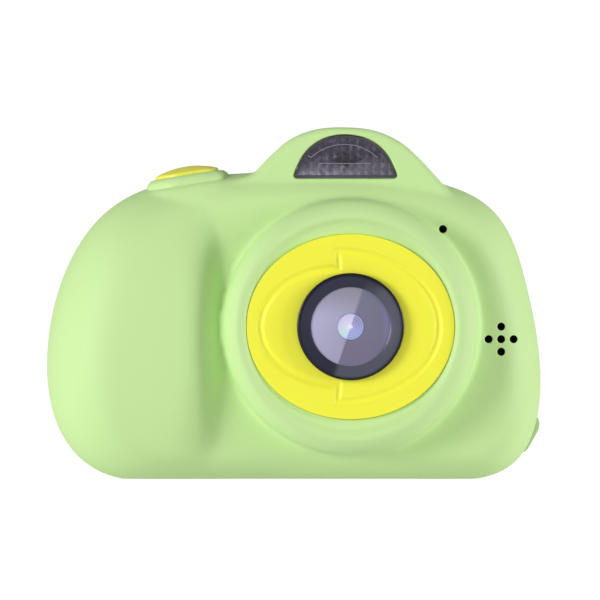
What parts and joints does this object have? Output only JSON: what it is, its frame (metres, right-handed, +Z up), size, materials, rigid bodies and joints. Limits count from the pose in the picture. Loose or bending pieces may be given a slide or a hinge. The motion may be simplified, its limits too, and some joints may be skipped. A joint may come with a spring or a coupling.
{
  "type": "kids digital camera",
  "caption": "Pocket digital camera for children with a soft sleeve, round lens surround, oval face plate, hand grip, flash window and shutter button.",
  "frame": {"origin": "middle of the footprint, on the surface that the camera stands on", "axes": "+X towards the viewer's right when the lens faces the viewer, -Y out of the lens, +Z up"},
  "size_m": [0.0987, 0.0412, 0.0702],
  "materials": {
    "green_silicone": "soft satin silicone",
    "green_abs": "moulded, fine texture",
    "yellow_abs": "satin moulded",
    "black_abs": "fine matt",
    "white_abs": "satin moulded",
    "clear_acrylic": "polished",
    "dark_acrylic": "polished",
    "smoked_acrylic": "moulded",
    "coated_glass": "coated",
    "silvered": "vacuum metallised",
    "led_yellow": "phosphor",
    "circuit_board": "solder mask",
    "chip_black": "moulded epoxy",
    "flex_amber": "polyimide film",
    "display": "display glass",
    "foil": "laminated pouch",
    "foam_black": "closed-cell foam",
    "rubber_black": "matt",
    "wire_red": "insulation",
    "metal_can": "nickel plated",
    "card_black": "moulded",
    "screw_steel": "zinc plated",
    "light_pipe": "tinted clear",
    "plunger_black": "moulded"
  },
  "bodies": {
    "camera": {"silicone_sleeve": "green_silicone", "strap_lug": "green_abs", "front_case": "green_abs", "rear_case": "green_abs", "face_plate": "yellow_abs", "lens_bezel": "black_abs", "lens_cone": "black_abs", "lens_barrel": "black_abs", "lens_window": "clear_acrylic", "lcd_window": "dark_acrylic", "flash_window": "smoked_acrylic", "front_element": "coated_glass", "flash_reflector": "silvered", "flash_led": "led_yellow", "flash_board": "circuit_board", "sensor_board": "circuit_board", "shutter_board": "circuit_board", "main_board": "circuit_board", "image_sensor": "chip_black", "main_chips": "chip_black", "key_switches": "chip_black", "shutter_switch": "chip_black", "sensor_flex": "flex_amber", "lcd_flex": "flex_amber", "lcd_panel": "display", "lcd_frame": "white_abs", "battery": "foil", "battery_tape": "foam_black", "battery_leads": "wire_red", "speaker": "metal_can", "microphone": "metal_can", "speaker_gasket": "foam_black", "microphone_boot": "rubber_black", "usb_socket": "metal_can", "card_socket": "metal_can", "case_screws": "screw_steel", "board_screws": "screw_steel", "charge_light": "light_pipe"},
    "shutter_release": {"shutter_button": "yellow_abs", "shutter_plunger": "plunger_black"},
    "port_cover": {"port_cover": "green_silicone"},
    "memory_card": {"memory_card": "card_black"},
    "power_button": {"power_button": "white_abs", "power_plunger": "plunger_black"},
    "menu_button": {"menu_button": "white_abs", "menu_plunger": "plunger_black"},
    "play_button": {"play_button": "white_abs", "play_plunger": "plunger_black"},
    "ok_button": {"ok_button": "yellow_abs", "ok_plunger": "plunger_black"},
    "up_key": {"up_key": "white_abs", "up_plunger": "plunger_black"},
    "down_key": {"down_key": "white_abs", "down_plunger": "plunger_black"},
    "left_key": {"left_key": "white_abs", "left_plunger": "plunger_black"},
    "right_key": {"right_key": "white_abs", "right_plunger": "plunger_black"}
  },
  "joints": [
    {"name": "shutter_press", "type": "slide", "parent": "camera", "child": "shutter_release", "axis": [0.1564, 0, -0.9877], "range_m": [0, 0.0008], "stiffness_N_per_m": 300, "springref_m": -0.0006},
    {"name": "power_press", "type": "slide", "parent": "camera", "child": "power_button", "axis": [0, -1, 0], "range_m": [0, 0.00035], "stiffness_N_per_m": 400, "springref_m": -0.0005},
    {"name": "menu_press", "type": "slide", "parent": "camera", "child": "menu_button", "axis": [0, -1, 0], "range_m": [0, 0.00035], "stiffness_N_per_m": 400, "springref_m": -0.0005},
    {"name": "play_press", "type": "slide", "parent": "camera", "child": "play_button", "axis": [0, -1, 0], "range_m": [0, 0.00035], "stiffness_N_per_m": 400, "springref_m": -0.0005},
    {"name": "ok_press", "type": "slide", "parent": "camera", "child": "ok_button", "axis": [0, -1, 0], "range_m": [0, 0.00035], "stiffness_N_per_m": 400, "springref_m": -0.0005},
    {"name": "up_press", "type": "slide", "parent": "camera", "child": "up_key", "axis": [0, -1, 0], "range_m": [0, 0.00035], "stiffness_N_per_m": 400, "springref_m": -0.0005},
    {"name": "down_press", "type": "slide", "parent": "camera", "child": "down_key", "axis": [0, -1, 0], "range_m": [0, 0.00035], "stiffness_N_per_m": 400, "springref_m": -0.0005},
    {"name": "left_press", "type": "slide", "parent": "camera", "child": "left_key", "axis": [0, -1, 0], "range_m": [0, 0.00035], "stiffness_N_per_m": 400, "springref_m": -0.0005},
    {"name": "right_press", "type": "slide", "parent": "camera", "child": "right_key", "axis": [0, -1, 0], "range_m": [0, 0.00035], "stiffness_N_per_m": 400, "springref_m": -0.0005},
    {"name": "port_cover_hinge", "type": "hinge", "parent": "camera", "child": "port_cover", "pos_m": [0.04672, 0.01, 0.03832], "axis": [0, -1, 0], "range_deg": [0, 110]},
    {"name": "memory_card_push", "type": "slide", "parent": "camera", "child": "memory_card", "axis": [-1, 0, 0], "range_m": [0, 0.0006], "stiffness_N_per_m": 300, "springref_m": -0.0005}
  ]
}
